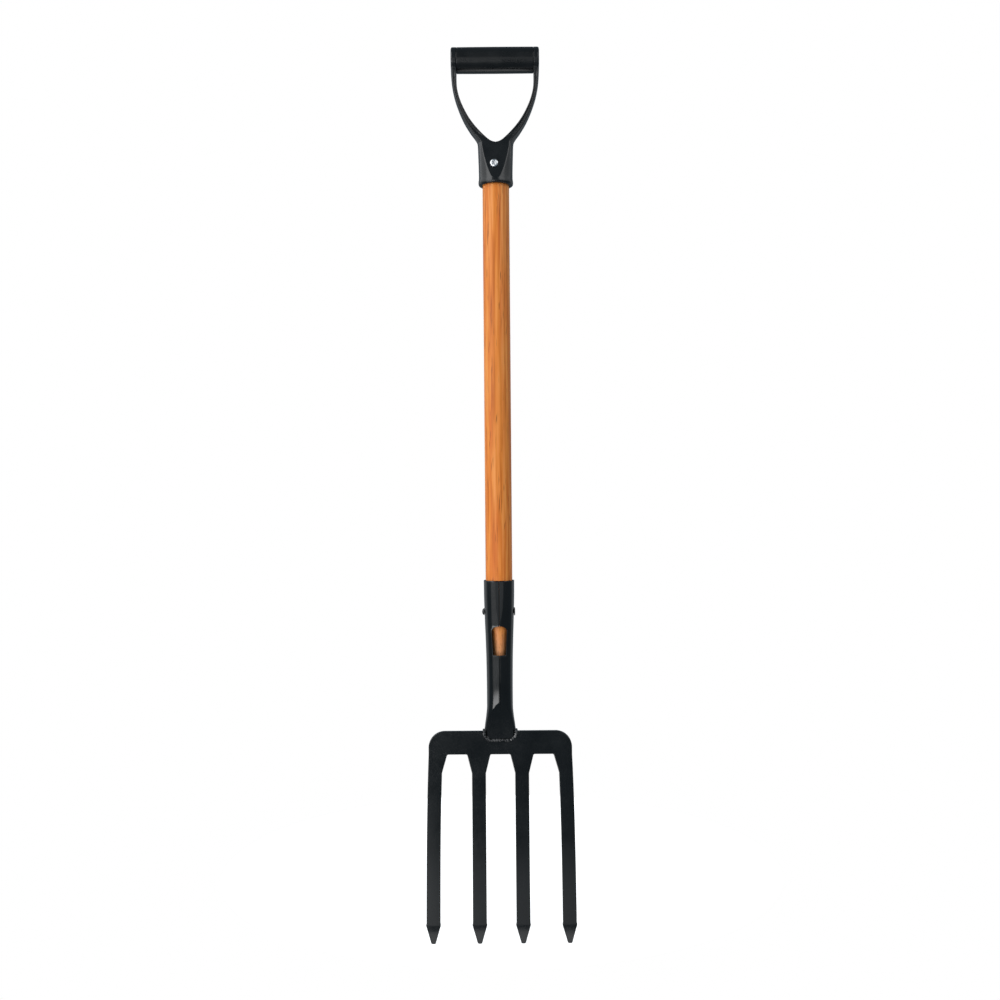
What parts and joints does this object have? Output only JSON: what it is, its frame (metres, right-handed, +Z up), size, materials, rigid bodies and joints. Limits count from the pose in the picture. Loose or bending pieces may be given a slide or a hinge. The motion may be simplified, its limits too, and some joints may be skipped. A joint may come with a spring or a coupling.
{
  "type": "digging fork",
  "caption": "Digging fork with flat, slightly curved steel tines, a windowed steel socket, a varnished hardwood shaft and a black moulded D-handle.",
  "frame": {"origin": "centre of the footprint, on the level of the tines' tips and straight below the shaft's axis", "axes": "+Z up the shaft towards the grip, -Y is the front that the tines bend towards and that shows the socket's window, +X to the right across the head"},
  "size_m": [0.1884, 0.0438, 1.1311],
  "materials": {
    "head_paint": "baked black enamel over stamped steel, satin",
    "socket_paint": "baked black enamel over rolled sheet steel, semi-gloss",
    "weld_paint": "rippled weld bead under thin black enamel, glossy on its crests",
    "shaft_wood": "straight-grained hardwood under clear orange varnish, satin",
    "rivet_paint": "steel rivet under the socket's black enamel",
    "handle_plastic": "black moulded polypropylene, satin, fine pebble",
    "grip_plastic": "black moulded tube, satin",
    "core_steel": "plain drawn steel rod, hidden",
    "screw_zinc": "bright zinc plating"
  },
  "bodies": {
    "root": {"fork_head": "head_paint", "socket": "socket_paint", "weld_front": "weld_paint", "weld_back": "weld_paint", "shaft": "shaft_wood", "socket_rivet": "rivet_paint", "d_handle": "handle_plastic", "grip_sleeve": "grip_plastic", "grip_core": "core_steel", "handle_screw": "screw_zinc"}
  },
  "joints": []
}
